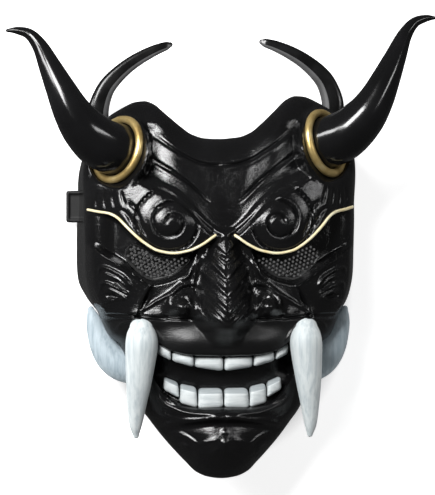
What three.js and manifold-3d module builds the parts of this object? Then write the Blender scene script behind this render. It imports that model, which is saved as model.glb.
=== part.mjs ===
// A horned demon face mask lying face up on its rear rim.
// Millimetres: +X viewer's right, +Y crown, +Z out of the face.
import * as THREE from "three";
import { mergeVertices } from "three/addons/utils/BufferGeometryUtils.js";
import Module from "manifold-3d";

const wasm = await Module();
wasm.setup();

// Driving dimensions of the shell.
const WALL = 3;
const GAP = 0.3;
const CROWN = 84;
const DOME_POWER = 3;
const EDGE_FADE = 0.93;
// The upper half stands higher on the +X side by this share of x.
const LEAN = { share: 0.04, from: 40, full: 100 };

// The outline seen from the front, half of it, from the chin round the cheek to the dip in the brow edge.
// edge is where the face turns into the side wall, rim is the wall's rear end,
// flare is how far the rim stands out.
const OUTLINE = [
  { x: 0, y: -121, edge: 62, rim: 36, flare: 0 },
  { x: 9.5, y: -119.8, edge: 62, rim: 36, flare: 0 },
  { x: 17.3, y: -116.5, edge: 61, rim: 35, flare: 0 },
  { x: 24.6, y: -109.5, edge: 60, rim: 34, flare: 0 },
  { x: 35, y: -98.5, edge: 58, rim: 33, flare: 0 },
  { x: 47.5, y: -83, edge: 55, rim: 32, flare: 0 },
  { x: 54, y: -74, edge: 54, rim: 31, flare: 0 },
  { x: 61, y: -50, edge: 50, rim: 30, flare: 0 },
  { x: 68, y: -31.5, edge: 48, rim: 30, flare: 0 },
  { x: 76.5, y: -23.8, edge: 47, rim: 30, flare: 0 },
  { x: 82.5, y: -10, edge: 46, rim: 28, flare: 0 },
  { x: 88.5, y: 1, edge: 46, rim: 12, flare: 2 },
  { x: 91.5, y: 12, edge: 46, rim: 0, flare: 4.5 },
  { x: 92.7, y: 34, edge: 47, rim: 0, flare: 4.7 },
  { x: 93, y: 63, edge: 48, rim: 0, flare: 4 },
  { x: 93.5, y: 94, edge: 46, rim: 0, flare: 2 },
  { x: 88, y: 114, edge: 44, rim: 0, flare: 0 },
  { x: 73, y: 130.5, edge: 44, rim: 10, flare: 0 },
  { x: 61.5, y: 136.5, edge: 46, rim: 32, flare: 0 },
  { x: 52, y: 138, edge: 48, rim: 41, flare: 0 },
  { x: 46, y: 135.8, edge: 50, rim: 44, flare: 0 },
  { x: 37.4, y: 128, edge: 54, rim: 48, flare: 0 },
  { x: 27.9, y: 119.3, edge: 58, rim: 52, flare: 0 },
  { x: 20.4, y: 113.5, edge: 60, rim: 54, flare: 0 },
  { x: 10.9, y: 110.2, edge: 62, rim: 56, flare: 0 },
  { x: 0, y: 109.5, edge: 62, rim: 56, flare: 0 },
];

// Lines across half of the face: u is the distance from the middle, y the height.
const CREST = [
  { u: 0, y: 44 },
  { u: 6, y: 46.5 },
  { u: 15, y: 54.5 },
  { u: 22, y: 62.5 },
  { u: 32, y: 71.5 },
  { u: 42, y: 77 },
  { u: 59, y: 86.5 },
  { u: 95, y: 96 },
];
const BROW = [
  { u: 0, y: 46 },
  { u: 6.3, y: 43 },
  { u: 15, y: 37 },
  { u: 24.3, y: 32.7 },
  { u: 34.7, y: 31 },
  { u: 44.7, y: 32.7 },
  { u: 52, y: 36.7 },
  { u: 58.7, y: 42 },
  { u: 65.4, y: 48.7 },
  { u: 72, y: 55.7 },
  { u: 77, y: 58.4 },
  { u: 84.7, y: 60 },
  { u: 93, y: 61.8 },
];
const SOCKET_LOW = [
  { u: 16, y: 36 },
  { u: 22, y: 26 },
  { u: 26.3, y: 19.4 },
  { u: 32.7, y: 14.7 },
  { u: 40.4, y: 12 },
  { u: 48.4, y: 10.7 },
  { u: 54.7, y: 14 },
  { u: 63.4, y: 21.4 },
  { u: 75.4, y: 29.4 },
  { u: 93, y: 38 },
];
const UPPER_LIP = [
  { u: 0, y: -37.7 },
  { u: 21.7, y: -37.2 },
  { u: 37, y: -33.5 },
  { u: 44.4, y: -28.7 },
  { u: 50, y: -26 },
];
const LOWER_LIP = [
  { u: 0, y: -71 },
  { u: 17, y: -71 },
  { u: 29, y: -69.5 },
  { u: 39, y: -63 },
  { u: 45, y: -54 },
  { u: 50, y: -46 },
];

// The nose, from under its tip to the bridge.
const NOSE = [
  { y: -32, half: 12, rise: 0 },
  { y: -28, half: 12, rise: 3 },
  { y: -22, half: 15, rise: 13 },
  { y: -16, half: 20, rise: 23 },
  { y: -9, half: 23, rise: 25 },
  { y: 6, half: 20, rise: 20 },
  { y: 22, half: 16, rise: 13 },
  { y: 34, half: 12, rise: 9 },
  { y: 44, half: 10, rise: 5 },
  { y: 50, half: 8, rise: 0 },
];

// Rounded swellings of the face, one a row.
const MOUNDS = [
  { name: "brow boss", u: 36, y: 53, wide: 17, tall: 14, rise: 5 },
  { name: "nostril wing", u: 29, y: -4, wide: 8.5, tall: 7.5, rise: 11 },
  { name: "upper lip", u: 18, y: -27, wide: 26, tall: 9, rise: 4 },
  { name: "tusk root", u: 55, y: -13, wide: 13, tall: 8, rise: 5 },
  { name: "lower lip", u: 0, y: -77, wide: 36, tall: 5, rise: 6 },
  { name: "chin", u: 0, y: -97, wide: 22, tall: 14, rise: 8 },
];

// Raised brow, sunk eye socket, raised cheek plate and sunk mouth.
const BROW_RISE = 6;
const BROW_SPAN = { inner: 3, full: 10, fade: 66, outer: 82 };
const SOCKET_DEPTH = 10;
const SOCKET_SPAN = { inner: 16, full: 23, fade: 70, outer: 90 };
const CHEEK_RISE = 5;
const CHEEK_CORNERS = { outer: [78, 29.7], inner: [49, 10.5], low: [58.7, -8.6] };
const MOUTH_DEPTH = 15;
const MOUTH_HALF = 47;
// Half of the width over which a form falls to its neighbour.
const SOFT = { brow: 2.5, cheek: 2, lip: 3.5 };

// Horns, one set of sections for both sides, from inside the shell to the tip.
const HORN_AXIS = new THREE.Vector3(0.744, 0.222, 0.629).normalize();
const HORN_FOOT = new THREE.Vector3(69.4, 103.7, 66);
const HORN_SEAT = { flat: 22, blend: 28, squeeze: 1.25 };
const HORN = [
  { x: 58, y: 100.3, z: 56.5, r: 18 },
  { x: 69.4, y: 103.7, z: 66, r: 18 },
  { x: 82.4, y: 108.6, z: 76, r: 17 },
  { x: 93.6, y: 118.6, z: 82, r: 14.9 },
  { x: 102, y: 130.7, z: 84, r: 12.3 },
  { x: 109.2, y: 145.3, z: 84, r: 9.8 },
  { x: 115.9, y: 159.7, z: 82, r: 7.5 },
  { x: 122.6, y: 174, z: 79, r: 5.2 },
  { x: 129.7, y: 182.7, z: 77, r: 3.7 },
  { x: 138, y: 185.7, z: 75, r: 2.5 },
  { x: 144.9, y: 186, z: 74, r: 1 },
];
const RING = { radius: 21, tube: 2.7, lift: 2, sides: 18, tubeSides: 6 };

// Thin curved rear horns on the upper ends of the side walls.
const REAR_HORN = [
  { x: 80, y: 114, z: 20, r: 7.6 },
  { x: 82.5, y: 134, z: 20, r: 7.4 },
  { x: 78.5, y: 147, z: 20, r: 6.5 },
  { x: 72.5, y: 155.5, z: 20, r: 5.9 },
  { x: 63, y: 164, z: 20, r: 5.1 },
  { x: 53, y: 170.4, z: 20, r: 4.5 },
  { x: 43, y: 175.2, z: 20, r: 3.8 },
  { x: 35, y: 178, z: 20, r: 3 },
  { x: 31.5, y: 179, z: 20, r: 1.6 },
];
const REAR_HORN_DEPTH = 1.15;

// Tusks that hang from the upper lip, and side tusks that curve up from the jaw.
const TUSK = [
  { x: 54.5, y: -9, z: 76, r: 6.5 },
  { x: 55, y: -18, z: 79, r: 9.8 },
  { x: 55.4, y: -31, z: 81, r: 10.8 },
  { x: 57, y: -52, z: 80, r: 8.8 },
  { x: 58.2, y: -68, z: 78, r: 6.6 },
  { x: 59, y: -83, z: 76, r: 4.2 },
  { x: 58.6, y: -91, z: 75, r: 1.6 },
];
const SIDE_TUSK = [
  { x: 58, y: -49, z: 45, r: 9 },
  { x: 68.5, y: -45, z: 45, r: 9.8 },
  { x: 75.5, y: -39.5, z: 44, r: 9.6 },
  { x: 81, y: -31, z: 43, r: 8.4 },
  { x: 85, y: -21.5, z: 42, r: 6.2 },
  { x: 87.2, y: -13, z: 41, r: 4.2 },
  { x: 88.6, y: -6, z: 40, r: 1.8 },
];

const TUSK_DEPTH = 0.9;
const SIDE_TUSK_DEPTH = 0.8;

// Teeth from the middle outwards: x range from the middle, y range, front height.
const UPPER_TEETH = [
  { from: 0.6, to: 19.4, top: -36.5, bottom: -47.3, front: 80 },
  { from: 20.4, to: 34.4, top: -34.5, bottom: -44.8, front: 78 },
  { from: 35.4, to: 44, top: -28.5, bottom: -40.6, front: 75 },
];
const LOWER_TEETH = [
  { from: 0.6, to: 16.9, top: -58.6, bottom: -73, front: 79 },
  { from: 17.9, to: 29, top: -56.2, bottom: -72, front: 77 },
  { from: 30, to: 39.6, top: -51.5, bottom: -66, front: 74 },
];
const TOOTH = { corner: 2.6, bevel: 1.2, depth: 18 };

// Eye openings and the pierced plates set into them.
const EYE = [
  { u: 22.5, y: 27.5 },
  { u: 28, y: 29.3 },
  { u: 35, y: 28.2 },
  { u: 43, y: 29.2 },
  { u: 50, y: 32.4 },
  { u: 57, y: 37.2 },
  { u: 63.5, y: 36.5 },
  { u: 66, y: 30 },
  { u: 61, y: 22.5 },
  { u: 54.5, y: 16.8 },
  { u: 48, y: 13.8 },
  { u: 40, y: 14.6 },
  { u: 33, y: 17.4 },
  { u: 27, y: 22 },
];
const EYE_MIDDLE = { u: 45, y: 25 };
const EYE_PLATE = { low: 69.4, high: 70.6, border: 1.7 };
const EYE_HOLES = { radius: 1.15, pitch: 3.3, slant: 22, rows: 6, columns: 10 };

// Gold bead along the brow's lower edge.
const BEAD = { radius: 1.1, sides: 5, steps: 22, start: 6.5, end: 91.5, above: 0.9 };

// Strap buckle on the -X side wall.
const BUCKLE = { inner: -90, outer: -104.7, low: 53.7, high: 78.4, back: 5, front: 13, corner: 3 };

// Mesh fineness.
const OUTLINE_STEPS = 72;
const FACE_RINGS = 14;
const INNER_RINGS = 10;
const WALL_RINGS = 2;
const RING_SPREAD = 0.9;
const HORN_SIDES = 12;
const REAR_HORN_SIDES = 8;
const TUSK_SIDES = 10;

const BLACK_GLOSS = { color: 0x0b0b0c, roughness: 0.22, metalness: 0 };
const HORN_BLACK = { color: 0x08080a, roughness: 0.16, metalness: 0 };
const GOLD = { color: 0xc79a4a, roughness: 0.32, metalness: 0.9 };
const PALE_GOLD = { color: 0xe9dfb4, roughness: 0.45, metalness: 0.2 };
const IVORY = { color: 0xd9dfe0, roughness: 0.55, metalness: 0 };
const MESH_BLACK = { color: 0x111112, roughness: 0.5, metalness: 0.3 };
const MATT_BLACK = { color: 0x161616, roughness: 0.6, metalness: 0 };

const clamp01 = (v) => Math.min(1, Math.max(0, v));

function smooth(from, to, v) {
  const s = clamp01((v - from) / (to - from));
  return s * s * (3 - 2 * s);
}

// Smooth curve through a table's rows that never overshoots them, flat at both ends.
function along(rows, key, value, at) {
  const last = rows.length - 1;
  if (at <= rows[0][key]) return rows[0][value];
  if (at >= rows[last][key]) return rows[last][value];
  const rise = (i) => (rows[i + 1][value] - rows[i][value]) / (rows[i + 1][key] - rows[i][key]);
  const slope = (i) => {
    if (i === 0 || i === last || rise(i - 1) * rise(i) <= 0) return 0;
    return (2 * rise(i - 1) * rise(i)) / (rise(i - 1) + rise(i));
  };
  let i = 0;
  while (at > rows[i + 1][key]) i += 1;
  const width = rows[i + 1][key] - rows[i][key];
  const t = (at - rows[i][key]) / width;
  const a = rows[i][value] * (1 + 2 * t) * (1 - t) ** 2 + rows[i + 1][value] * t * t * (3 - 2 * t);
  return a + width * (slope(i) * t * (1 - t) ** 2 + slope(i + 1) * t * t * (t - 1));
}

// The outline as a function of the angle above the horizontal.
const RIM_ROWS = OUTLINE.map((row) => ({
  angle: Math.atan2(row.y, row.x),
  radius: Math.hypot(row.x, row.y),
  edge: row.edge,
  rim: row.rim,
  flare: row.flare,
}));
const rimAt = (angle, value) => along(RIM_ROWS, "angle", value, angle);

// Angles that cut half of the outline into steps of equal length.
function evenAngles(count) {
  const fine = 720;
  const places = [];
  for (let i = 0; i <= fine; i++) {
    const angle = -Math.PI / 2 + (Math.PI * i) / fine;
    const radius = rimAt(angle, "radius");
    places.push({ angle, x: radius * Math.cos(angle), y: radius * Math.sin(angle) });
  }
  let run = 0;
  places.forEach((p, i) => {
    if (i > 0) run += Math.hypot(p.x - places[i - 1].x, p.y - places[i - 1].y);
    p.run = run;
  });
  const angles = [];
  let at = 0;
  for (let k = 0; k <= count; k++) {
    const target = (run * k) / count;
    while (at < fine && places[at].run < target) at += 1;
    angles.push(places[at].angle);
  }
  return angles;
}

// Distance of a point to the left of the line from one point to another.
function leftOf(from, to, u, y) {
  const dx = to[0] - from[0];
  const dy = to[1] - from[1];
  return (dx * (y - from[1]) - dy * (u - from[0])) / Math.hypot(dx, dy);
}

// Height of the face's forms over the plain dome.
function relief(u, y) {
  const overBrow = y - along(BROW, "u", "y", u);
  const underCrest = along(CREST, "u", "y", u) - y;
  const brow = BROW_RISE * smooth(-SOFT.brow, SOFT.brow, overBrow) * smooth(-2, 6, underCrest);
  const overCheek = y - along(SOCKET_LOW, "u", "y", u);
  const span = SOCKET_SPAN;
  const across = smooth(span.inner, span.full, u) * smooth(span.outer, span.fade, u);
  const underBrow = smooth(SOFT.brow, -SOFT.brow, overBrow);
  const socket = SOCKET_DEPTH * underBrow * smooth(-1, 4, overCheek) * across;
  const nose = along(NOSE, "y", "rise", y);
  const noseSide = clamp01(u / along(NOSE, "y", "half", y));
  const corner = CHEEK_CORNERS;
  const underPlate = leftOf(corner.inner, corner.outer, u, y);
  const outPlate = leftOf(corner.low, corner.inner, u, y);
  const inPlate = smooth(SOFT.cheek, -SOFT.cheek, underPlate) * smooth(SOFT.cheek, -SOFT.cheek, outPlate);
  const cheek = CHEEK_RISE * inPlate * smooth(-14, -8, y);
  const underLip = smooth(-SOFT.lip, SOFT.lip, along(UPPER_LIP, "u", "y", u) - y);
  const overLip = smooth(-SOFT.lip, SOFT.lip, y - along(LOWER_LIP, "u", "y", u));
  const mouth = MOUTH_DEPTH * underLip * overLip * smooth(MOUTH_HALF + SOFT.lip, MOUTH_HALF - SOFT.lip, u);
  const browAcross = smooth(BROW_SPAN.inner, BROW_SPAN.full, u) * smooth(BROW_SPAN.outer, BROW_SPAN.fade, u);
  let height = brow * browAcross - socket + cheek - mouth;
  height += nose * Math.cos((noseSide * Math.PI) / 2) ** 2;
  MOUNDS.forEach((m) => {
    height += m.rise * Math.exp(-(((u - m.u) / m.wide) ** 2) - ((y - m.y) / m.tall) ** 2);
  });
  return height;
}

// Height of the flat seat that carries a horn, square to the horn's axis.
function seatHeight(u, y) {
  const fall = HORN_AXIS.x * (u - HORN_FOOT.x) + HORN_AXIS.y * (y - HORN_FOOT.y);
  return HORN_FOOT.z - fall / HORN_AXIS.z;
}

// Face height at a share t of the way from the middle to the outline;
// inset is the depth below the outer face.
// The inner face runs on under a seat's raised side, so the seat is solid there.
function faceHeight(angle, t, inset, reliefOf) {
  const radius = rimAt(angle, "radius") - inset;
  const edge = rimAt(angle, "edge");
  const u = t * radius * Math.cos(angle);
  const y = t * radius * Math.sin(angle);
  const dome = Math.sqrt(Math.max(0, 1 - t ** DOME_POWER));
  const inFace = smooth(1, EDGE_FADE, t);
  const plain = edge + (CROWN - inset - edge) * dome + reliefOf(u, y) * inFace;
  const away = Math.hypot((u - HORN_FOOT.x) * HORN_SEAT.squeeze, y - HORN_FOOT.y);
  const seat = smooth(HORN_SEAT.blend, HORN_SEAT.flat, away) * inFace;
  const toSeat = seatHeight(u, y) - inset / HORN_AXIS.z - plain;
  return plain + seat * (inset > 0 ? Math.min(0, toSeat) : toSeat);
}

// The lowest relief near a point, so that the inner face keeps the wall's thickness beside steep forms.
function innerRelief(u, y) {
  const reach = 2 * WALL;
  let least = relief(u, y);
  for (let k = 0; k < 8; k++) {
    const turn = (k * Math.PI) / 4;
    least = Math.min(least, relief(Math.abs(u + reach * Math.cos(turn)), y + reach * Math.sin(turn)));
  }
  return least;
}

// Rings of points from the middle of the face over the edge and down the side wall to the rim.
function faceRings(rings, inset, reliefOf) {
  const half = evenAngles(OUTLINE_STEPS / 2);
  const right = half.map((angle) => ({ angle, side: 1 }));
  const left = half.slice(1, -1).reverse().map((angle) => ({ angle, side: -1 }));
  const spokes = right.concat(left);
  const loop = (place) => spokes.map(({ angle, side }) => {
    const { radius, z } = place(angle, rimAt(angle, "radius") - inset);
    return new THREE.Vector3(side * radius * Math.cos(angle), radius * Math.sin(angle), z);
  });
  const loops = [];
  for (let r = 1; r <= rings; r++) {
    const t = (r / rings) ** RING_SPREAD;
    loops.push(loop((angle, edgeRadius) => ({
      radius: edgeRadius * t,
      z: faceHeight(angle, t, inset, reliefOf),
    })));
  }
  for (let w = 1; w <= WALL_RINGS; w++) {
    const down = w / WALL_RINGS;
    loops.push(loop((angle, edgeRadius) => ({
      radius: edgeRadius + rimAt(angle, "flare") * down,
      z: rimAt(angle, "edge") * (1 - down) + rimAt(angle, "rim") * down,
    })));
  }
  return { middle: new THREE.Vector3(0, 0, faceHeight(0, 0, inset, reliefOf)), loops };
}

// Closed geometry from loops of points: fans at both ends and bands between.
function loopsGeometry(start, loops, end) {
  const count = loops[0].length;
  const points = [start, ...loops.flat(), end];
  const index = [];
  const at = (loop, k) => 1 + loop * count + (k % count);
  for (let k = 0; k < count; k++) {
    index.push(0, at(0, k), at(0, k + 1));
    for (let loop = 0; loop + 1 < loops.length; loop++) {
      index.push(at(loop, k), at(loop + 1, k), at(loop + 1, k + 1));
      index.push(at(loop, k), at(loop + 1, k + 1), at(loop, k + 1));
    }
    index.push(at(loops.length - 1, k), points.length - 1, at(loops.length - 1, k + 1));
  }
  return new THREE.BufferGeometry().setFromPoints(points).setIndex(index);
}

function solidOf(geometry) {
  const bare = geometry.clone();
  bare.deleteAttribute("normal");
  bare.deleteAttribute("uv");
  const merged = mergeVertices(bare, 1e-4);
  const vertProperties = new Float32Array(merged.attributes.position.array);
  const triVerts = new Uint32Array(merged.index.array);
  return new wasm.Manifold(new wasm.Mesh({ numProp: 3, vertProperties, triVerts }));
}

// The largest single body of a solid, as a geometry with the mask's lean applied.
function geometryOf(solid) {
  const bodies = solid.decompose().sort((a, b) => b.volume() - a.volume());
  const mesh = bodies[0].getMesh();
  const points = [];
  for (let i = 0; i < mesh.numVert; i++) {
    const [x, y, z] = mesh.vertProperties.subarray(i * mesh.numProp, i * mesh.numProp + 3);
    points.push(new THREE.Vector3(x, y + LEAN.share * x * smooth(LEAN.from, LEAN.full, y), z));
  }
  const flat = new THREE.BufferGeometry().setFromPoints(points).setIndex([...mesh.triVerts]).toNonIndexed();
  flat.computeVertexNormals();
  return flat;
}

const mask = new THREE.Group();

function addPart(name, solid, finish) {
  const mesh = new THREE.Mesh(geometryOf(solid), new THREE.MeshStandardMaterial(finish));
  mesh.name = name;
  mask.add(mesh);
}

const SIDES = [
  { name: "left", side: -1 },
  { name: "right", side: 1 },
];

// The same solid on the other side of the face.
const sided = (solid, side) => (side > 0 ? solid : solid.mirror([1, 0, 0]));

// A round bar through a table's sections; flat is its height across the face over its width.
function taper(rows, sides, flat = 1, grow = 0) {
  const centres = rows.map((row) => new THREE.Vector3(row.x, row.y, row.z));
  const path = new THREE.CatmullRomCurve3(centres, false, "centripetal");
  const last = rows.length - 1;
  const outOfFace = new THREE.Vector3(0, 0, 1);
  const loops = rows.map((row, i) => {
    const tangent = path.getTangent(i / last);
    const wide = new THREE.Vector3().crossVectors(tangent, outOfFace).normalize();
    const deep = new THREE.Vector3().crossVectors(wide, tangent);
    return Array.from({ length: sides }, (_, k) => {
      const turn = (2 * Math.PI * k) / sides;
      const point = new THREE.Vector3(row.x, row.y, row.z);
      point.addScaledVector(wide, (row.r + grow) * Math.cos(turn));
      return point.addScaledVector(deep, (row.r * flat + grow) * Math.sin(turn));
    });
  });
  const ends = [rows[0], rows[last]].map((row) => new THREE.Vector3(row.x, row.y, row.z));
  const geometry = loopsGeometry(ends[0], loops, ends[1]);
  const solid = solidOf(geometry);
  if (solid.volume() > 0) return solid;
  geometry.index.array.reverse();
  return solidOf(geometry);
}

// The filled body under the shell's outer face, swollen by the gap, which trims what is fixed to the shell.
const outer = faceRings(FACE_RINGS, 0, relief);
const HOLLOW_POINT = new THREE.Vector3(0, 20, 12);
const filledGeometry = swollen(loopsGeometry(outer.middle, outer.loops, HOLLOW_POINT), 2 * GAP);
const filled = solidOf(filledGeometry);
const seated = (solid) => solid.subtract(filled);

// Moves every point of a closed geometry out along its normal.
function swollen(geometry, distance) {
  geometry.computeVertexNormals();
  const { position, normal } = geometry.attributes;
  for (let i = 0; i < position.count; i++) {
    const point = new THREE.Vector3().fromBufferAttribute(position, i);
    point.addScaledVector(new THREE.Vector3().fromBufferAttribute(normal, i), distance);
    position.setXYZ(i, point.x, point.y, point.z);
  }
  return geometry;
}

// One eye's outline as a shape, inset by a margin.
function eyeShape(margin) {
  const points = EYE.map((p) => {
    const du = p.u - EYE_MIDDLE.u;
    const dy = p.y - EYE_MIDDLE.y;
    const keep = 1 - margin / Math.hypot(du, dy);
    return new THREE.Vector2(EYE_MIDDLE.u + du * keep, EYE_MIDDLE.y + dy * keep);
  });
  return new THREE.Shape(points);
}

function slab(shape, low, high) {
  const settings = { depth: high - low, bevelEnabled: false, curveSegments: 4 };
  const geometry = new THREE.ExtrudeGeometry(shape, settings);
  return solidOf(geometry.translate(0, 0, low));
}

// The shell: outer face, side wall, rim and inner face, with the eyes cut through.
function faceShell() {
  const inner = faceRings(INNER_RINGS, WALL, innerRelief);
  const back = inner.loops.slice().reverse();
  const eye = slab(eyeShape(0), WALL, 2 * CROWN);
  const shell = solidOf(loopsGeometry(outer.middle, [...outer.loops, ...back], inner.middle));
  return shell.subtract(eye).subtract(eye.mirror([1, 0, 0]));
}

addPart("face_shell", faceShell(), BLACK_GLOSS);

// Horns, each in a gold ring on its seat.
const horn = taper(HORN, HORN_SIDES);
function hornRing() {
  const torus = new THREE.TorusGeometry(RING.radius, RING.tube, RING.tubeSides, RING.sides);
  torus.applyQuaternion(new THREE.Quaternion().setFromUnitVectors(new THREE.Vector3(0, 0, 1), HORN_AXIS));
  const place = HORN_FOOT.clone().addScaledVector(HORN_AXIS, RING.lift);
  const ring = solidOf(torus.translate(place.x, place.y, place.z));
  return ring.subtract(taper(HORN, HORN_SIDES, 1, GAP));
}
const ring = hornRing();
const rearHorn = taper(REAR_HORN, REAR_HORN_SIDES, REAR_HORN_DEPTH);
const tusk = taper(TUSK, TUSK_SIDES, TUSK_DEPTH);
const sideTusk = taper(SIDE_TUSK, TUSK_SIDES, SIDE_TUSK_DEPTH);

// The pierced plate of one eye: staggered square holes, each clear of the plate's border.
function eyePlate() {
  const inside = eyeShape(GAP + EYE_PLATE.border).getPoints();
  const { radius, pitch, rows, columns } = EYE_HOLES;
  const slant = THREE.MathUtils.degToRad(EYE_HOLES.slant);
  const middle = new THREE.Vector2(EYE_MIDDLE.u, EYE_MIDDLE.y);
  const prism = new THREE.CylinderGeometry(radius, radius, WALL, 4).rotateX(Math.PI / 2);
  let plate = slab(eyeShape(GAP), EYE_PLATE.low, EYE_PLATE.high);
  for (let row = -rows; row <= rows; row++) {
    for (let column = -columns; column <= columns; column++) {
      const across = (column + (row % 2 ? 0.5 : 0)) * pitch;
      const up = row * pitch * Math.sin(Math.PI / 3);
      const place = new THREE.Vector2(across, up).rotateAround(new THREE.Vector2(), slant).add(middle);
      if (!holds(inside, place)) continue;
      plate = plate.subtract(solidOf(prism.clone().translate(place.x, place.y, EYE_PLATE.low)));
    }
  }
  return plate;
}

// Whether an outline holds a point.
function holds(outline, point) {
  let inside = false;
  outline.forEach((a, i) => {
    const b = outline[(i + 1) % outline.length];
    const spans = a.y > point.y !== b.y > point.y;
    if (spans && point.x < ((b.x - a.x) * (point.y - a.y)) / (b.y - a.y) + a.x) inside = !inside;
  });
  return inside;
}

// The gold bead, laid on the faceted face a little above the brow's lower edge.
function browBead(side) {
  const down = new THREE.Raycaster();
  const face = new THREE.Mesh(filledGeometry);
  const heightAt = (x, y) => {
    down.set(new THREE.Vector3(x, y, 2 * CROWN), new THREE.Vector3(0, 0, -1));
    return down.intersectObject(face)[0].point.z;
  };
  const rows = [];
  for (let i = 0; i <= BEAD.steps; i++) {
    const u = BEAD.start + ((BEAD.end - BEAD.start) * i) / BEAD.steps;
    const y = along(BROW, "u", "y", u) + BEAD.above;
    const top = Math.max(heightAt(side * u, y), heightAt(side * u, y + BEAD.radius));
    rows.push({ x: side * u, y, z: top + BEAD.radius * 0.5, r: BEAD.radius });
  }
  return taper(rows, BEAD.sides);
}

// A tooth with rounded corners, square to the arch of the jaw.
function tooth(row) {
  const width = row.to - row.from - 2 * TOOTH.bevel;
  const height = row.top - row.bottom - 2 * TOOTH.bevel;
  const outline = roundedBox(width, height, TOOTH.corner - TOOTH.bevel);
  const settings = {
    depth: TOOTH.depth,
    bevelSize: TOOTH.bevel,
    bevelThickness: TOOTH.bevel,
    bevelSegments: 1,
    curveSegments: 2,
  };
  const block = new THREE.ExtrudeGeometry(outline, settings);
  block.translate(0, 0, -TOOTH.depth - TOOTH.bevel);
  return solidOf(block.translate((row.from + row.to) / 2, (row.top + row.bottom) / 2, row.front));
}

function roundedBox(width, height, corner) {
  const x = width / 2 - corner;
  const y = height / 2 - corner;
  const shape = new THREE.Shape();
  shape.absarc(x, y, corner, 0, Math.PI / 2);
  shape.absarc(-x, y, corner, Math.PI / 2, Math.PI);
  shape.absarc(-x, -y, corner, Math.PI, 1.5 * Math.PI);
  shape.absarc(x, -y, corner, 1.5 * Math.PI, 2 * Math.PI);
  return shape;
}

const plate = eyePlate();
SIDES.forEach(({ name, side }) => {
  const addSeated = (part, solid, finish) => addPart(`${part}_${name}`, seated(sided(solid, side)), finish);
  addSeated("horn", horn, HORN_BLACK);
  addSeated("horn_ring", ring, GOLD);
  addSeated("rear_horn", rearHorn, MATT_BLACK);
  addSeated("tusk", tusk, IVORY);
  addSeated("side_tusk", sideTusk, IVORY);
  UPPER_TEETH.forEach((row, i) => addSeated(`upper_tooth_${i + 1}`, tooth(row), IVORY));
  LOWER_TEETH.forEach((row, i) => addSeated(`lower_tooth_${i + 1}`, tooth(row), IVORY));
  addPart(`eye_mesh_${name}`, sided(plate, side), MESH_BLACK);
  addPart(`brow_line_${name}`, seated(browBead(side)), PALE_GOLD);
});

function strapBuckle() {
  const wide = BUCKLE.inner - BUCKLE.outer;
  const outline = roundedBox(wide, BUCKLE.high - BUCKLE.low, BUCKLE.corner);
  const block = slab(outline, BUCKLE.back, BUCKLE.front);
  return seated(block.translate((BUCKLE.inner + BUCKLE.outer) / 2, (BUCKLE.low + BUCKLE.high) / 2, 0));
}
addPart("strap_buckle", strapBuckle(), MATT_BLACK);

// The origin is under the middle of the whole mask, on the surface that it lies on.
mask.updateMatrixWorld(true);
const box = new THREE.Box3().setFromObject(mask);
const middle = box.getCenter(new THREE.Vector3());
mask.position.set(-middle.x, -middle.y, -box.min.z);

export default mask;
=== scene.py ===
"""Looks of the horned demon mask: fine geometry, lacquer, gold and painted tusks on a pale floor."""
import math

import bpy
import numpy as np
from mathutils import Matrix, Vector


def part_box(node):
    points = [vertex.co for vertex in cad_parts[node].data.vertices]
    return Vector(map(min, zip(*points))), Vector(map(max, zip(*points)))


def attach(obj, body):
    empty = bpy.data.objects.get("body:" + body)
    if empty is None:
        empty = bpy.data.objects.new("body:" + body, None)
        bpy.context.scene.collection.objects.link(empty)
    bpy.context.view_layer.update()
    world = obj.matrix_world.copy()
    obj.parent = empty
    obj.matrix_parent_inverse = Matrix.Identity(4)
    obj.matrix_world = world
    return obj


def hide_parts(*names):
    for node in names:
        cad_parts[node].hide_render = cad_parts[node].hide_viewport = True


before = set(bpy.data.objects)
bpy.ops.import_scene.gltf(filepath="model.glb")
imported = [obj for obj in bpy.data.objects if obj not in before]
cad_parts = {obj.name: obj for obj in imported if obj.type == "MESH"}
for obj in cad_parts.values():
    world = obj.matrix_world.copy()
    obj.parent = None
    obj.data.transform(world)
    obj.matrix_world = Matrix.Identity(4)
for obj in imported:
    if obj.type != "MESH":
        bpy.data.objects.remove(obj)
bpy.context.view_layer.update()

# Measures in millimetres unless said otherwise: +X viewer's right, +Y crown, +Z out of the face.
CHIN_Y = -121
SHIFT_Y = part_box("face_shell")[0].y * 1000 - CHIN_Y
LEAN = {"share": 0.04, "from": 40, "full": 100}

WALL = 3
CROWN = 84
DOME_POWER = 3
EDGE_FADE = 0.93

# Outline of half of the face: x, y, edge height, rim height, flare of the rim.
OUTLINE = np.array([
    (0, -121, 62, 36, 0), (9.5, -119.8, 62, 36, 0), (17.3, -116.5, 61, 35, 0),
    (24.6, -109.5, 60, 34, 0), (35, -98.5, 58, 33, 0), (47.5, -83, 55, 32, 0),
    (54, -74, 54, 31, 0), (61, -50, 50, 30, 0), (68, -31.5, 48, 30, 0),
    (76.5, -23.8, 47, 30, 0), (82.5, -10, 46, 28, 0), (88.5, 1, 46, 12, 2),
    (91.5, 12, 46, 0, 4.5), (92.7, 34, 47, 0, 4.7), (93, 63, 48, 0, 4),
    (93.5, 94, 46, 0, 2), (88, 114, 44, 0, 0), (73, 130.5, 44, 10, 0),
    (61.5, 136.5, 46, 32, 0), (52, 138, 48, 41, 0), (46, 135.8, 50, 44, 0),
    (37.4, 128, 54, 48, 0), (27.9, 119.3, 58, 52, 0), (20.4, 113.5, 60, 54, 0),
    (10.9, 110.2, 62, 56, 0), (0, 109.5, 62, 56, 0),
], float)

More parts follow.
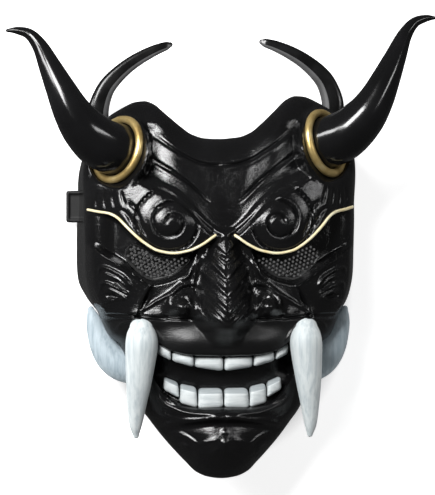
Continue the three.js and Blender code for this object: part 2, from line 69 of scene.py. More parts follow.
# Lines across half of the face: distance from the middle, height.
CREST = [(0, 44), (6, 46.5), (15, 54.5), (22, 62.5), (32, 71.5), (42, 77), (59, 86.5), (95, 96)]
BROW = [(0, 46), (6.3, 43), (15, 37), (24.3, 32.7), (34.7, 31), (44.7, 32.7), (52, 36.7), (58.7, 42),
        (65.4, 48.7), (72, 55.7), (77, 58.4), (84.7, 60), (93, 61.8)]
SOCKET_LOW = [(16, 36), (22, 26), (26.3, 19.4), (32.7, 14.7), (40.4, 12), (48.4, 10.7), (54.7, 14),
              (63.4, 21.4), (75.4, 29.4), (93, 38)]
UPPER_LIP = [(0, -37.7), (21.7, -37.2), (37, -33.5), (44.4, -28.7), (50, -26)]
LOWER_LIP = [(0, -71), (17, -71), (29, -69.5), (39, -63), (45, -54), (50, -46)]

# The nose: height, half width, rise.
NOSE = [(-32, 12, 0), (-28, 12, 3), (-22, 15, 13), (-16, 20, 23), (-9, 23, 25), (6, 20, 20),
        (22, 16, 13), (34, 12, 9), (44, 10, 5), (50, 8, 0)]

NOSE_POWER = 1.35

# Swellings: u, y, half width, half height, rise.
MOUNDS = [
    (36, 53, 17, 14, 5),
    (29, -4, 8.5, 7.5, 11),
    (18, -27, 26, 9, 4),
    (55, -13, 13, 8, 5),
    (0, -77, 36, 5, 6),
    (0, -97, 22, 14, 8),
]
BROW_RISE = 6
SOCKET_DEPTH = 10
CHEEK_RISE = 5
CHEEK_OUTER, CHEEK_INNER, CHEEK_LOW = (78, 29.7), (49, 10.5), (58.7, -8.6)
MOUTH_DEPTH = 15
MOUTH_HALF = 47
SOFT_BROW, SOFT_CHEEK, SOFT_LIP = 1.3, 0.8, 1.3
# The inner side has softer edges and keeps this far from the outer forms.
SOFT_INNER = (2.5, 2, 3.5)
INNER_REACH = 6
# Cells of the outer face, how many of them one inner cell spans, and rings down the side wall.
GRID = {"across": 240, "along": 330, "coarse": 3, "rings": 5}

# Carved lines of half of the face: points, half width, height (negative is cut in).
STROKES = [
    # forehead bands
    ([(47, 113), (34.5, 103.5), (25, 97.6), (18, 94), (10, 91.7), (0, 91)], 1.0, -1.9),
    ([(46, 110.6), (34, 101), (24.5, 95.2), (17.6, 91.6), (10, 89.4), (0, 88.8)], 1.5, 0.6),
    ([(55, 100), (46, 95), (40, 91.2), (31, 85), (22, 77.9), (10.8, 67)], 1.0, -1.9),
    ([(55, 97.6), (40, 88.8), (31, 82.6), (22.5, 75.4), (12, 65.6)], 1.5, 0.6),
    # crest over the brow
    ([(0, 45), (6, 47.5), (15, 55.5), (22, 63.5), (32, 72.6), (42, 78.2), (58, 87)], 1.5, 1.5),
    ([(3, 42.6), (8, 45), (16, 52.5), (23.5, 60.3), (33, 68.9), (43, 74.4), (57, 82)], 1.4, -2.3),
    # petals beside the spiral
    ([(64, 66), (60, 62.5), (57.5, 57), (56, 50.5), (52, 43)], 1.0, -1.6),
    ([(69, 62), (65, 58), (61.5, 52), (58, 46.5)], 1.0, -1.4),
    # creases under the horn ring
    ([(69, 74.5), (68, 69.5), (66, 64)], 1.0, -1.3),
    ([(74, 73.5), (74, 68.5), (72.5, 63)], 1.0, -1.3),
    ([(79, 73.5), (79.5, 68), (78.5, 63)], 1.0, -1.1),
    ([(84, 75), (85, 69), (84.5, 64)], 1.0, -1.1),
    # bridge of the nose and its sides
    ([(18, 27), (19.5, 20), (20.5, 14), (20.5, 9)], 0.9, 1.3),
    ([(14.5, 26), (16, 19), (17, 12)], 0.8, -1.0),
    ([(22, 25), (23.5, 19), (25.5, 14.5)], 0.9, 1.0),
    # nostril wings
    ([(36, -2), (33.5, 2.5), (31, 5), (26, 8.6), (20.5, 9), (18, 3), (15.8, -4.5), (12, -13)], 0.9, -1.5),
    ([(38, -3), (35.5, 4), (31.5, 8), (26.5, 11.3), (20, 11.8)], 1.2, 1.3),
    ([(33, 0.5), (29, 4.2), (25, 3), (22.5, -3), (20.5, -9)], 0.9, 1.4),
    ([(31, -0.8), (28, 1.8), (25.2, 0.2), (23.5, -4)], 0.7, -1.0),
    ([(41, -9.5), (36, -11.6), (29, -12), (22, -12.5)], 1.1, -2.4),
    # cheek ridges
    ([(78, 29.7), (70.4, 24.9), (61, 18.9), (49, 11)], 1.2, 2.0),
    ([(49, 11), (51, 1.4), (54.5, -4), (58.7, -8.6)], 1.1, 1.7),
    ([(58.7, -8.6), (46, -0.5), (35.7, 5.6), (28.5, 12.5)], 1.1, 1.6),
    ([(28.5, 13.5), (24, 18), (19, 27)], 1.4, 1.6),
    # curled tufts of the cheek
    ([(83.5, 19), (82.5, 22), (78.5, 22), (73, 19.4), (68.4, 16.7), (65, 13), (63, 9.4)], 1.0, 2.0),
    ([(80, 18.5), (75, 16.4), (70.5, 13.6), (66.5, 9)], 0.9, 1.2),
    ([(82.5, 7), (82, 11), (79, 12), (73, 9.4), (67, 6.4), (64.5, 4.4)], 1.0, 2.0),
    ([(78, 8.4), (74, 6.6), (70, 4.4), (66.4, 2.6)], 1.2, 1.6),
    ([(85, -3.3), (80, -0.8), (75, 0.6), (69, 1.2), (65, 3)], 0.9, 1.6),
    ([(86.4, -1.3), (83, -3.4), (79.7, -5.6)], 0.9, 1.6),
    ([(73, 14), (69, 10), (66, 6)], 1.3, -1.6),
    ([(79, 3.8), (74, 3.2), (69, 1.2)], 1.6, -1.8),
    # fold between cheek and upper lip
    ([(80, -9.3), (72, -9.2), (62, -9.8), (52, -10.6), (44, -11.4), (38, -12.4)], 1.1, -2.0),
    # rims round the roots of the tusks
    ([(66, -10.8), (60, -11.2), (54, -13.6), (49.5, -16.6), (45.4, -21), (42, -27)], 1.1, 1.7),
    ([(71, -19), (68.6, -15.8), (64.5, -13.8), (59, -14.2), (54, -16), (48.6, -20.8), (44, -29.5)], 1.0, 1.5),
    # lips and chin
    ([(44, -64), (39.5, -69), (33, -72), (26, -74.2), (16, -75.2), (0, -74.6)], 1.3, 1.6),
    ([(41, -74.5), (32, -77), (20, -77.2), (9, -76.6)], 1.3, -0.9),
    ([(40, -84), (33, -82.2), (20, -79.8), (9, -77.8), (0, -77.6)], 1.8, 1.5),
    ([(44, -88), (34, -87), (20, -84.6), (8, -82.6), (0, -82.4)], 2.2, -1.0),
    ([(30, -89), (24, -91.4), (17.7, -96)], 1.1, 1.1),
    ([(28.6, -95.4), (23.7, -98.9)], 1.1, 1.1),
    ([(26, -104.4), (22.6, -107.2)], 1.1, 1.1),
    ([(17, -96), (10, -93.6), (4.3, -92.4)], 1.1, 0.8),
    ([(9, -102), (4.3, -98.4)], 1.1, 0.9),
    ([(0, -86), (0, -89.5)], 2.0, 1.2),
    ([(0, -93), (0, -97)], 2.0, 1.4),
    ([(21, -101), (15, -105.5)], 1.1, 0.6),
]
SPIRAL = {"u": 36, "y": 52.5, "start": 3.2, "grow": 8.2, "swell": 0.9, "turns": 2.22, "flat": 0.94,
          "cut": -1.9, "width": 0.95, "lip": 0.5, "lip_at": 2.1, "lip_width": 1.1}
RIB = {"pitch": 11.6, "from": 30.5, "to": -16, "rise": 2.0, "half": 17.5,
       "thick_at": 0.38, "thick": 0.34, "thin_at": 0.87, "thin": 0.10, "thin_rise": 0.45}
TEMPLE = {"from": 30, "fall": 0.0075, "reach": 20, "low": (80, 88), "high": (122, 114)}
DIAMOND = {"half": 7.6, "low": 30.8, "mid": 38, "high": 42.6, "rise": 1.6}

# Horn: x, y, z, radius.
HORN_AXIS = np.array((0.744, 0.222, 0.629))
HORN_AXIS = HORN_AXIS / np.linalg.norm(HORN_AXIS)
HORN_FOOT = np.array((69.4, 103.7, 66.0))
HORN_SEAT = {"flat": 22, "blend": 28, "squeeze": 1.25}
HORN = [(82.4, 108.6, 76, 17), (93.6, 118.6, 82, 14.9), (102, 130.7, 84, 12.3), (109.2, 145.3, 84, 9.8),
        (115.9, 159.7, 82, 7.5), (122.6, 174, 79, 5.2), (129.7, 182.7, 77, 3.7), (138, 185.7, 75, 2.5),
        (144.4, 186, 74, 1.1)]
RING = {"radius": 21, "tube": 2.7, "lift": 2}
REAR_HORN = [(82, 119, 20, 7.6), (82.5, 134, 20, 7.4), (78.5, 147, 20, 6.5), (72.5, 155.5, 20, 5.9),
             (63, 164, 20, 5.1), (53, 170.4, 20, 4.5), (43, 175.2, 20, 3.8), (35, 178, 20, 3),
             (32.2, 178.8, 20, 1.8)]
REAR_SECTION = {"sides": 48, "steps": 90, "power": 0.55, "flat": 0.9, "strip": -0.3}
TUSK = [(55, -17.5, 79, 8.2), (55.2, -23, 80.2, 10.2), (55.4, -31, 81, 10.8), (57, -52, 80, 8.8),
        (58.2, -68, 78, 6.6), (59, -83, 76, 4.2), (58.7, -90.3, 75, 1.9)]
SIDE_TUSK = [(59.5, -48.6, 45, 9.4), (67.6, -45, 45, 10.4), (74.2, -39.5, 44, 10.3), (79.6, -31, 43, 9.2),
             (83.8, -21.5, 42, 7.0), (86.4, -13, 41, 4.9), (88.1, -6.6, 40, 2.1)]

# Teeth: range of x, top inside and outside, bottom inside and outside, front height.
UPPER_TEETH = [
    (0.6, 19.4, -37.6, -37.0, -47.3, -44.6, 80),
    (20.4, 34.4, -36.6, -34.6, -44.4, -40.6, 79.2),
    (35.4, 44, -33.6, -28.8, -40.2, -36.0, 77),
]
LOWER_TEETH = [
    (0.6, 16.9, -59.0, -59.0, -71.6, -72.6, 79),
    (17.9, 29, -58.2, -56.0, -72.0, -68.8, 77),
    (30, 39.6, -55.2, -51.6, -65.6, -60.0, 74),
]
TOOTH = {"cells": 12, "corner": 0.36, "depth": 5.5, "belly": 1.0, "arch": 0.018, "bevel": 4.0, "bevel_from": 0.75,
         "splay": 1.4, "tuck": 1.0}
EYE = [(22.5, 27.5), (28, 29.3), (35, 28.2), (43, 29.2), (50, 32.4), (57, 37.2), (63.5, 36.5), (66, 30),
       (61, 22.5), (54.5, 16.8), (48, 13.8), (40, 14.6), (33, 17.4), (27, 22)]
EYE_MIDDLE = (45, 25)
EYE_PLATE = {"low": 69.4, "high": 70.6, "gap": 0.05, "border": 1.95}
EYE_CUT = {"low": 30, "high": 110}
EYE_HOLES = {"radius": 0.85, "pitch": 3.0, "row_step": 0.78, "slant": 22, "rows": 12, "columns": 10, "corners": 10}
BEAD = {"radius": 0.95, "start": 6.5, "end": 92.6, "above": 0.9}
LIP = {"low": -37, "high": -11}
# Glow of the floor, with a painted shadow: the glow is dimmer in an oval under the mask (half sizes in metres).
FLOOR_GLOW_AND_PAINTED_SHADOW = {"wide": 0.10, "tall": 0.12, "open": 0.75, "under": 0.10}
WORLD_GLOW = 0.07
# Area lights: name, place and aim in metres, size, watts.
LIGHTS = [
    ("key", (-0.56, 0.54, 1.06), (0, 0.03, 0.07), (0.56, 0.44), 22),
    ("low", (-0.79, 0.40, 0.55), (0, 0.0, 0.07), (0.22, 0.36), 4.5),
    ("rim", (0.78, 0.37, 0.92), (0, 0.03, 0.07), (0.14, 0.6), 2.6),
]
# The camera: target, degrees to the viewer's left, distance, and the taller side of what it sees there.
CAMERA = {"target": (-2.6, 35.7, 60), "yaw": 5.2, "distance": 1300, "view": 336.6}
BUCKLE = {"inner": -91, "outer": -104.6, "low": 53.8, "high": 78.3, "back": 5, "front": 13,
          "corner": 1.6, "sunk": 1.6}


def smooth(a, b, v):
    s = np.clip((v - a) / (b - a), 0, 1)
    return s * s * (3 - 2 * s)


def along(xs, ys, at):
    """Smooth curve through points that never overshoots them, flat at both ends."""
    xs, ys = np.asarray(xs, float), np.asarray(ys, float)
    at = np.clip(at, xs[0], xs[-1])
    rise = np.diff(ys) / np.diff(xs)
    slope = np.zeros(len(xs))
    both = rise[:-1] * rise[1:] > 0
    slope[1:-1][both] = 2 * rise[:-1][both] * rise[1:][both] / (rise[:-1][both] + rise[1:][both])
    i = np.clip(np.searchsorted(xs, at, side="right") - 1, 0, len(xs) - 2)
    w = xs[i + 1] - xs[i]
    t = (at - xs[i]) / w
    a = ys[i] * (1 + 2 * t) * (1 - t) ** 2 + ys[i + 1] * t * t * (3 - 2 * t)
    return a + w * (slope[i] * t * (1 - t) ** 2 + slope[i + 1] * t * t * (t - 1))


def line(rows, at, value=1):
    return along([r[0] for r in rows], [r[value] for r in rows], at)


RIM_ANGLE = np.arctan2(OUTLINE[:, 1], OUTLINE[:, 0])
RIM_RADIUS = np.hypot(OUTLINE[:, 0], OUTLINE[:, 1])


def rim(angle, column):
    return along(RIM_ANGLE, RIM_RADIUS if column == 0 else OUTLINE[:, column], angle)


def left_of(start, end, u, y):
    dx, dy = end[0] - start[0], end[1] - start[1]
    return (dx * (y - start[1]) - dy * (u - start[0])) / math.hypot(dx, dy)


def spline(points, per=8):
    """Points along a smooth curve through the given ones."""
    p = np.asarray(points, float)
    if len(p) < 3:
        t = np.linspace(0, 1, per + 1)[:, None]
        return p[0] + (p[-1] - p[0]) * t
    q = np.vstack([2 * p[0] - p[1], p, 2 * p[-1] - p[-2]])
    out = []
    for i in range(1, len(q) - 2):
        a, b, c, d = q[i - 1], q[i], q[i + 1], q[i + 2]
        for t in np.arange(per) / per:
            out.append(0.5 * (2 * b + (c - a) * t + (2 * a - 5 * b + 4 * c - d) * t * t
                              + (3 * b - a - 3 * c + d) * t ** 3))
    out.append(p[-1])
    return np.array(out)


def stroke(height, u, y, points, width, rise):
    """Adds a carved line to the heights, thinner towards both ends."""
    path = spline(points)
    reach = 3 * width
    near = ((u > path[:, 0].min() - reach) & (u < path[:, 0].max() + reach)
            & (y > path[:, 1].min() - reach) & (y < path[:, 1].max() + reach))
    if not near.any():
        return
    p = np.stack([u[near], y[near]], 1)
    best = np.full(len(p), 1e9)
    place = np.zeros(len(p))
    count = len(path) - 1
    for i in range(count):
        a, d = path[i], path[i + 1] - path[i]
        s = np.clip(((p - a) @ d) / (d @ d), 0, 1)
        away = np.hypot(*(p - a - s[:, None] * d).T)
        closer = away < best
        best[closer] = away[closer]
        place[closer] = (i + s[closer]) / count
    fade = 1 - np.abs(2 * place - 1) ** 6 * 0.75
    height[near] += rise * fade * np.exp(-(best / width) ** 2)


def forms(u, y, soft_brow, soft_cheek, soft_lip):
    """Main forms of the face over the plain dome."""
    over_brow = y - line(BROW, u)
    under_crest = line(CREST, u) - y
    brow = BROW_RISE * smooth(-soft_brow, soft_brow, over_brow) * smooth(-2, 6, under_crest)
    over_cheek = y - line(SOCKET_LOW, u)
    across = smooth(16, 23, u) * smooth(90, 70, u)
    socket = SOCKET_DEPTH * smooth(soft_brow, -soft_brow, over_brow) * smooth(-1, 4, over_cheek) * across
    nose_side = np.clip(u / line(NOSE, y, 1), 0, 1)
    nose = line(NOSE, y, 2) * np.cos(nose_side * math.pi / 2) ** NOSE_POWER
    under_plate = left_of(CHEEK_INNER, CHEEK_OUTER, u, y)
    out_plate = left_of(CHEEK_LOW, CHEEK_INNER, u, y)
    in_plate = smooth(soft_cheek, -soft_cheek, under_plate) * smooth(soft_cheek, -soft_cheek, out_plate)
    cheek = CHEEK_RISE * in_plate * smooth(-14, -8, y)
    under_lip = smooth(-soft_lip, soft_lip, line(UPPER_LIP, u) - y)
    over_lip = smooth(-soft_lip, soft_lip, y - line(LOWER_LIP, u))
    mouth = MOUTH_DEPTH * under_lip * over_lip * smooth(MOUTH_HALF + soft_lip, MOUTH_HALF - soft_lip, u)
    height = brow * smooth(3, 10, u) * smooth(82, 66, u) - socket + cheek - mouth + nose
    for mu, my, wide, tall, rise in MOUNDS:
        height = height + rise * np.exp(-((u - mu) / wide) ** 2 - ((y - my) / tall) ** 2)
    return height


def main_forms(u, y):
    return forms(u, y, SOFT_BROW, SOFT_CHEEK, SOFT_LIP)


def inner_relief(u, y):
    """The lowest form near a point, so that the wall keeps its thickness."""
    least = forms(u, y, *SOFT_INNER)
    for k in range(8):
        turn = k * math.pi / 4
        du, dy = INNER_REACH * math.cos(turn), INNER_REACH * math.sin(turn)
        least = np.minimum(least, forms(np.abs(u + du), y + dy, *SOFT_INNER))
    return least


def spiral_line(u, y):
    """Cut of the spiral on each brow boss."""
    du, dy = u - SPIRAL["u"], (y - SPIRAL["y"]) / SPIRAL["flat"]
    r, turn = np.hypot(du, dy), (np.arctan2(dy, du) / (2 * math.pi)) % 1
    cut = np.zeros_like(r)
    for lap in range(3):
        t = lap + turn
        path = SPIRAL["start"] + SPIRAL["grow"] * t + SPIRAL["swell"] * t * t
        live = smooth(SPIRAL["turns"] + 0.04, SPIRAL["turns"] - 0.04, t) * smooth(-0.02, 0.1, t)
        away = r - path
        groove = SPIRAL["cut"] * np.exp(-(away / SPIRAL["width"]) ** 2)
        cut += live * (groove + SPIRAL["lip"] * np.exp(-((away - SPIRAL["lip_at"]) / SPIRAL["lip_width"]) ** 2))
    return cut * smooth(0.3, 1.6, y - line(BROW, u)) * smooth(0.2, 2.2, line(CREST, u) - 3 - y)


def nose_ribs(u, y):
    """Chevron ribs down the nose and the diamond above them."""
    f = ((y - u) / RIB["pitch"]) % 1
    thick = np.cos(np.clip((f - RIB["thick_at"]) / RIB["thick"], -1, 1) * math.pi / 2) ** 1.6
    thin = RIB["thin_rise"] * np.exp(-((f - RIB["thin_at"]) / RIB["thin"]) ** 2)
    span = smooth(RIB["half"], RIB["half"] - 4, u) * smooth(RIB["to"] - 2, RIB["to"] + 4, y - 0.35 * u)
    span = span * smooth(RIB["from"] + 1, RIB["from"] - 3, y)
    seam = 1 - 0.75 * np.exp(-(u / 0.9) ** 2)
    d = DIAMOND
    tall = np.where(y > d["mid"], d["high"] - d["mid"], d["mid"] - d["low"])
    inside = 1 - u / d["half"] - np.abs(y - d["mid"]) / tall
    rhombus = d["rise"] * smooth(-0.05, 0.12, inside)
    return RIB["rise"] * (thick + thin) * span * seam + rhombus


def relief(u, y):
    """All forms and carved lines of the outer face."""
    temple = TEMPLE["fall"] * np.clip(u - TEMPLE["from"], 0, TEMPLE["reach"]) ** 2
    temple = temple * smooth(*TEMPLE["low"], y) * smooth(*TEMPLE["high"], y)
    height = main_forms(u, y) + spiral_line(u, y) + nose_ribs(u, y) - temple
    flat_u, flat_y = u.ravel(), y.ravel()
    flat = height.ravel().copy()
    for points, width, rise in STROKES:
        stroke(flat, flat_u, flat_y, points, width, rise)
    return flat.reshape(height.shape)


def face_height(u, y, inset, relief_of):
    angle = np.arctan2(y, u)
    radius = rim(angle, 0) - inset
    edge = rim(angle, 2)
    t = np.clip(np.hypot(u, y) / radius, 0, 1)
    dome = np.sqrt(np.maximum(0, 1 - t ** DOME_POWER))
    in_face = smooth(1, EDGE_FADE, t)
    plain = edge + (CROWN - inset - edge) * dome + relief_of(u, y) * in_face
    away = np.hypot((u - HORN_FOOT[0]) * HORN_SEAT["squeeze"], y - HORN_FOOT[1])
    seat = smooth(HORN_SEAT["blend"], HORN_SEAT["flat"], away) * in_face
    fall = HORN_AXIS[0] * (u - HORN_FOOT[0]) + HORN_AXIS[1] * (y - HORN_FOOT[1])
    to_seat = HORN_FOOT[2] - fall / HORN_AXIS[2] - inset / HORN_AXIS[2] - plain
    return plain + seat * (np.minimum(0, to_seat) if inset > 0 else to_seat)


def to_frame(points):
    """Millimetres of the design to metres of the frame."""
    p = np.array(points, float).reshape(-1, 3)
    p[:, 1] += LEAN["share"] * p[:, 0] * smooth(LEAN["from"], LEAN["full"], p[:, 1]) + SHIFT_Y
    return p / 1000


def make(name, points, faces, smooth_angle=40):
    mesh = bpy.data.meshes.new(name)
    mesh.from_pydata(to_frame(points).tolist(), [], [tuple(int(i) for i in f) for f in faces])
    mesh.update()
    mesh.polygons.foreach_set("use_smooth", np.ones(len(mesh.polygons), bool))
    mesh.set_sharp_from_angle(angle=math.radians(smooth_angle))
    piece = bpy.data.objects.new(name, mesh)
    bpy.context.scene.collection.objects.link(piece)
    return piece


def dress(piece, node, material):
    piece.data.materials.clear()
    for m in material if isinstance(material, list) else [material]:
        piece.data.materials.append(m)
    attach(piece, "root")
    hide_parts(node)


def disc_grid(nx, ny, inset, relief_of):
    """Grid over the whole outline: points, quads and the boundary loop."""
    a, b = np.meshgrid(np.linspace(-1, 1, nx + 1), np.linspace(-1, 1, ny + 1), indexing="ij")
    wide = np.abs(a) > np.abs(b)
    with np.errstate(divide="ignore", invalid="ignore"):
        phi = np.where(wide, math.pi / 4 * np.where(wide, b / a, 0),
                       math.pi / 2 - math.pi / 4 * np.where(~wide & (b != 0), a / b, 0))
    r = np.where(wide, a, b)
    x, y = r * np.cos(phi), r * np.sin(phi)
    share = np.maximum(np.abs(a), np.abs(b))
    t = share * (1 + 0.12 * (1 - share ** 6))
    angle = np.arctan2(y, np.abs(x))
    radius = rim(angle, 0) - inset
    u, v = t * radius * np.cos(angle), t * radius * np.sin(angle)
    z = face_height(u, v, inset, relief_of)
    points = np.stack([np.where(x < 0, -u, u), v, z], 2).reshape(-1, 3)
    at = np.arange((nx + 1) * (ny + 1)).reshape(nx + 1, ny + 1)
    quads = np.stack([at[:-1, :-1], at[1:, :-1], at[1:, 1:], at[:-1, 1:]], 2).reshape(-1, 4)
    loop = np.concatenate([at[:-1, 0], at[-1, :-1], at[:0:-1, -1], at[0, :0:-1]])
    return points, quads, loop


def wall_rings(points, loop, inset, rings):
    """Rings of points from the boundary loop down the side wall to the rim."""
    p = points[loop]
    angle = np.arctan2(p[:, 1], np.abs(p[:, 0]))
    radius, edge = rim(angle, 0) - inset, rim(angle, 2)
    low, flare = rim(angle, 3), rim(angle, 4)
    side = np.where(p[:, 0] < 0, -1, 1)
    made = []
    for k in range(1, rings + 1):
        down = k / rings
        r = radius + flare * down
        made.append(np.stack([side * r * np.cos(angle), r * np.sin(angle), edge * (1 - down) + low * down], 1))
    return made


def bands(loops, flip=False):
    """Quads between loops of the same length."""
    faces = []
    for a, b in zip(loops[:-1], loops[1:]):
        quad = np.stack([a, b, np.roll(b, -1), np.roll(a, -1)], 1)
        faces.append(quad[:, ::-1] if flip else quad)
    return np.concatenate(faces)


def face_piece():
    """Outer face, side walls, rim and inner face of the shell as one closed mesh."""
    across, up, rings, coarse = GRID["across"], GRID["along"], GRID["rings"], GRID["coarse"]
    outer, quads, loop = disc_grid(across, up, 0, relief)
    inner, back_quads, back_loop = disc_grid(across // coarse, up // coarse, WALL, inner_relief)
    outer_walls = wall_rings(outer, loop, 0, rings)
    inner_walls = wall_rings(inner, back_loop, WALL, rings)
    points = [outer]
    size = len(outer)
    loops = [loop]
    for w in outer_walls:
        points.append(w)
        loops.append(np.arange(size, size + len(w)))
        size += len(w)
    back_start = size
    points.append(inner)
    size += len(inner)
    back_loops = [back_loop + back_start]
    for w in inner_walls:
        points.append(w)
        back_loops.append(np.arange(size, size + len(w)))
        size += len(w)
    faces = list(quads) + list(bands(loops)) + list((back_quads + back_start)[:, ::-1])
    faces += list(bands(back_loops, flip=True))
    rim_out, rim_in = loops[-1], back_loops[-1]
    count = len(rim_in)
    for k in range(count):
        o = [rim_out[(coarse * k + j) % len(rim_out)] for j in range(coarse + 1)]
        i0, i1 = rim_in[k], rim_in[(k + 1) % count]
        faces += [(o[0], i0, o[1]), (o[1], i0, o[2]), (o[2], i0, i1), (o[2], i1, o[3])]
    shell = make("face_shell_fine", np.concatenate(points), faces, 60)
    cut_eyes(shell)
    return shell


def eye_outline(margin, per=3):
    closed = EYE + EYE[:3]
    ring = spline(closed, per)[per:per * (len(EYE) + 1)]
    d = ring - np.array(EYE_MIDDLE)
    away = np.hypot(d[:, 0], d[:, 1])[:, None]
    return np.array(EYE_MIDDLE) + d * (1 - margin / away)


def prism(name, outline, low, high, side):
    n = len(outline)
    x, y = outline[:, 0] * side, outline[:, 1]
    turned = np.sum(x * np.roll(y, -1) - np.roll(x, -1) * y) > 0
    points = np.concatenate([np.stack([x, y, np.full(n, z)], 1) for z in (low, high)])
    ring = np.arange(n)
    faces = [list(ring), list(ring[::-1] + n)]
    faces += [(i + n, (i + 1) % n + n, (i + 1) % n, i) for i in range(n)]
    if turned:
        faces = [f[::-1] for f in faces]
    return make(name, points, faces)


def take_away(piece, cutter):
    """Cuts one mesh out of another and removes the cutter."""
    cut = piece.modifiers.new("cut", "BOOLEAN")
    cut.operation, cut.solver, cut.object = "DIFFERENCE", "MANIFOLD", cutter
    with bpy.context.temp_override(object=piece, active_object=piece, selected_objects=[piece]):
        bpy.ops.object.modifier_apply(modifier="cut")
    bpy.data.objects.remove(cutter)


def cut_eyes(shell):
    for side in (-1, 1):
        take_away(shell, prism("eye_cutter", eye_outline(0), EYE_CUT["low"], EYE_CUT["high"], side))


def loft(name, rows, sides=40, steps=90, flat=1.0, flute=0.0, flutes=9, round_start=False, shape=None,
         mirror=1):
    """Round bar through rows of x, y, z, radius with rounded ends."""
    path = spline([r[:3] for r in rows], 16)
    radii = spline([(r[3],) for r in rows], 16)[:, 0]
    run = np.concatenate([[0], np.cumsum(np.linalg.norm(np.diff(path, axis=0), axis=1))])
    length = run[-1]
    share = np.linspace(0, 1, steps)
    start_r, end_r = radii[0], radii[-1]
    at = share * length
    centre = np.stack([np.interp(at, run, path[:, k]) for k in range(3)], 1)
    radius = np.interp(at, run, radii)
    tangent = np.gradient(centre, axis=0)
    tangent /= np.linalg.norm(tangent, axis=1)[:, None]
    caps = np.sin(np.linspace(0, math.pi / 2, 8))[1:]
    rings_c, rings_r, rings_t = list(centre), list(radius), list(tangent)
    for s in caps:
        rings_c.append(centre[-1] + tangent[-1] * end_r * s)
        rings_r.append(end_r * math.sqrt(max(1e-6, 1 - s * s)))
        rings_t.append(tangent[-1])
    if round_start:
        for s in caps:
            rings_c.insert(0, centre[0] - tangent[0] * start_r * 0.75 * s)
            rings_r.insert(0, start_r * math.sqrt(max(1e-6, 1 - s * s)))
            rings_t.insert(0, tangent[0])
    c, r, t = np.array(rings_c), np.array(rings_r), np.array(rings_t)
    wide = np.cross(t, (0, 0, 1.0))
    wide /= np.linalg.norm(wide, axis=1)[:, None]
    deep = np.cross(wide, t)
    turn = np.arange(sides) * 2 * math.pi / sides
    wave = 1 + flute * np.cos(flutes * turn)
    cos, sin = np.cos(turn) * wave, np.sin(turn) * wave * flat
    if shape is not None:
        cos, sin = shape(turn)
    spoke = cos[None, :, None] * wide[:, None, :] + sin[None, :, None] * deep[:, None, :]
    points = (c[:, None, :] + r[:, None, None] * spoke).reshape(-1, 3)
    n = len(c)
    loops = [np.arange(k * sides, (k + 1) * sides) for k in range(n)]
    faces = list(bands(loops)) + [list(loops[0]), list(loops[-1][::-1])]
    if mirror < 0:
        points = points * np.array((-1, 1, 1))
        faces = [f[::-1] for f in faces]
    return make(name, points, faces, 50)


def torus(name, side):
    major, minor = 120, 28
    axis = HORN_AXIS
    wide = np.cross(axis, (0, 0, 1.0))
    wide /= np.linalg.norm(wide)
    up = np.cross(wide, axis)
    middle = HORN_FOOT + RING["lift"] * axis
    a = np.arange(major) * 2 * math.pi / major
    b = np.arange(minor) * 2 * math.pi / minor
    spoke = np.cos(a)[:, None] * wide + np.sin(a)[:, None] * up
    dent = 1 + 0.02 * np.sin(5 * a + 1) + 0.012 * np.sin(13 * a)
    tube = RING["tube"] * dent
    points = (middle + spoke[:, None, :] * (RING["radius"] + tube[:, None] * np.cos(b))[:, :, None]
              + axis * (tube[:, None] * np.sin(b))[:, :, None])
    points = points.reshape(-1, 3) * np.array((side, 1, 1))
    loops = [np.arange(k * minor, (k + 1) * minor) for k in range(major)]
    faces = bands(loops + [loops[0]], flip=side < 0)
    return make(name, points, list(faces), 80)


def rounded_box(n, half, corner):
    """Points and quads of a box with rounded edges, from a finely cut cube."""
    s = np.linspace(-1, 1, n + 1)
    points, faces = [], []
    for axis in range(3):
        for sign in (-1, 1):
            a, b = np.meshgrid(s, s, indexing="ij")
            p = np.zeros((n + 1, n + 1, 3))
            p[..., axis] = sign
            p[..., (axis + 1) % 3] = a
            p[..., (axis + 2) % 3] = b
            at = len(points) * (n + 1) ** 2 + np.arange((n + 1) ** 2).reshape(n + 1, n + 1)
            quad = np.stack([at[:-1, :-1], at[1:, :-1], at[1:, 1:], at[:-1, 1:]], 2).reshape(-1, 4)
            points.append(p.reshape(-1, 3))
            faces.append(quad if sign > 0 else quad[:, ::-1])
    p = np.concatenate(points) * np.array(half)
    core = np.array(half) - corner
    inside = np.clip(p, -core, core)
    d = p - inside
    size = np.linalg.norm(d, axis=1, keepdims=True)
    p = inside + np.where(size > 1e-9, d / np.maximum(size, 1e-9) * corner, 0)
    key = np.round(p, 5)
    unique, back = np.unique(key, axis=0, return_inverse=True)
    back = np.asarray(back).reshape(-1)
    return unique, back[np.concatenate(faces)]


